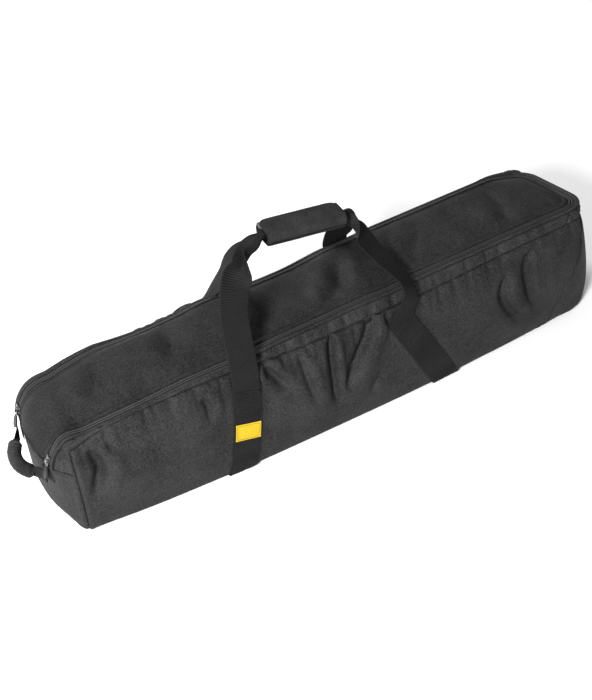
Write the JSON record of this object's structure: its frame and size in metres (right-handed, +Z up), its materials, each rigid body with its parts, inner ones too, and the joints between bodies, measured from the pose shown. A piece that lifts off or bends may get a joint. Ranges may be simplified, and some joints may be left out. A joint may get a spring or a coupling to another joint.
{
  "type": "soft carry bag for drawing tubes",
  "caption": "Long soft zip-top carry bag for tubes and rolled drawings, with paired webbing handles in a padded wrap and an end grab handle.",
  "frame": {"origin": "on the resting surface, under the middle of the bounding box", "axes": "+X along the bag, away from the end handle and the sliders; -Y is the front, where the label is; +Z up"},
  "size_m": [0.998, 0.2306, 0.324],
  "materials": {
    "shell_fabric": "woven polyester, plain weave, slight sheen",
    "base_fabric": "woven polyester, plain weave",
    "gusset_fabric": "woven polyester, plain weave",
    "lid_fabric": "woven polyester, plain weave",
    "zip_tape": "herringbone tape",
    "zip_coil": "satin nylon coil",
    "zip_stop_metal": "pressed metal",
    "slider_metal": "dark enamel, worn bright at the edges",
    "pull_tab_plastic": "moulded soft plastic",
    "webbing": "ribbed polypropylene webbing",
    "wrap_fabric": "padded woven polyester",
    "binding_tape": "folded grosgrain tape",
    "hook_loop": "hook and loop pile",
    "label_yellow": "woven satin label",
    "thread": "bonded polyester thread"
  },
  "bodies": {
    "bag": {"front_panel": "shell_fabric", "rear_panel": "shell_fabric", "base_panel": "base_fabric", "left_end_panel": "shell_fabric", "right_end_panel": "shell_fabric", "front_gusset": "gusset_fabric", "rear_gusset": "gusset_fabric", "right_end_gusset": "gusset_fabric", "lid_hinge_seam": "lid_fabric", "zip_coil_body": "zip_coil", "zip_tape_body": "zip_tape", "zip_end_stops": "zip_stop_metal", "left_body_strap": "webbing", "right_body_strap": "webbing", "label": "label_yellow", "strap_box_stitches": "thread", "end_handle_anchors": "webbing", "front_seam_binding": "binding_tape", "rear_seam_binding": "binding_tape"},
    "lid": {"lid_panel": "lid_fabric", "zip_tape_lid": "zip_tape", "zip_coil_lid": "zip_coil"},
    "front_slider": {"front_slider": "slider_metal"},
    "rear_slider": {"rear_slider": "slider_metal"},
    "front_pull": {"front_pull": "slider_metal", "front_pull_tab": "pull_tab_plastic"},
    "rear_pull": {"rear_pull": "slider_metal", "rear_pull_tab": "pull_tab_plastic"},
    "front_handle": {"front_handle": "webbing"},
    "rear_handle": {"rear_handle": "webbing", "grip_pad": "wrap_fabric", "grip_loop_patch": "hook_loop"},
    "grip_flap": {"grip_flap": "wrap_fabric", "grip_flap_binding": "binding_tape", "grip_hook_patch": "hook_loop"},
    "end_handle": {"end_handle_sleeve": "wrap_fabric", "end_handle_webbing": "webbing"}
  },
  "joints": [
    {"name": "front_handle_swing", "type": "hinge", "parent": "bag", "child": "front_handle", "pos_m": [-0.032, -0.0936, 0.1462], "axis": [1, 0, 0], "range_deg": [0, 150]},
    {"name": "rear_handle_swing", "type": "hinge", "parent": "bag", "child": "rear_handle", "pos_m": [-0.028, 0.0936, 0.1462], "axis": [-1, 0, 0], "range_deg": [0, 150]},
    {"name": "grip_flap_open", "type": "hinge", "parent": "rear_handle", "child": "grip_flap", "pos_m": [-0.00478, -0.01093, 0.29723], "axis": [0.9941, -0.0568, -0.0923], "range_deg": [0, 165], "deforming": ["grip_flap", "grip_flap_binding", "grip_hook_patch"]},
    {"name": "lid_open", "type": "hinge", "parent": "bag", "child": "lid", "pos_m": [-0.461, 0, 0.121], "axis": [0, -1, 0], "range_deg": [0, 45], "deforming": ["zip_tape_lid", "zip_coil_lid", "lid_hinge_seam"]},
    {"name": "end_handle_swing", "type": "hinge", "parent": "bag", "child": "end_handle", "pos_m": [-0.4648, 0, 0.1], "axis": [0, 1, 0], "range_deg": [-45, 8], "deforming": ["end_handle_webbing"]},
    {"name": "front_slider_travel", "type": "hinge", "parent": "bag", "child": "front_slider", "pos_m": [-0.396, -0.056, 0.118], "axis": [0, 1, 0], "range_deg": [0, 59]},
    {"name": "rear_slider_travel", "type": "hinge", "parent": "bag", "child": "rear_slider", "pos_m": [-0.396, 0.056, 0.118], "axis": [0, 1, 0], "range_deg": [0, 59]},
    {"name": "front_pull_flip", "type": "hinge", "parent": "front_slider", "child": "front_pull", "pos_m": [-0.45907, -0.056, 0.1349], "axis": [0, 1, 0], "range_deg": [0, 150]},
    {"name": "rear_pull_flip", "type": "hinge", "parent": "rear_slider", "child": "rear_pull", "pos_m": [-0.45907, 0.056, 0.1349], "axis": [0, 1, 0], "range_deg": [0, 150]}
  ],
  "couplings": [
    {"joint": "rear_handle_swing", "follows": "front_handle_swing", "ratio": 1},
    {"joint": "grip_flap_open", "follows": "front_handle_swing", "ratio": 1.1},
    {"joint": "lid_open", "follows": "front_handle_swing", "ratio": 0.3}
  ]
}
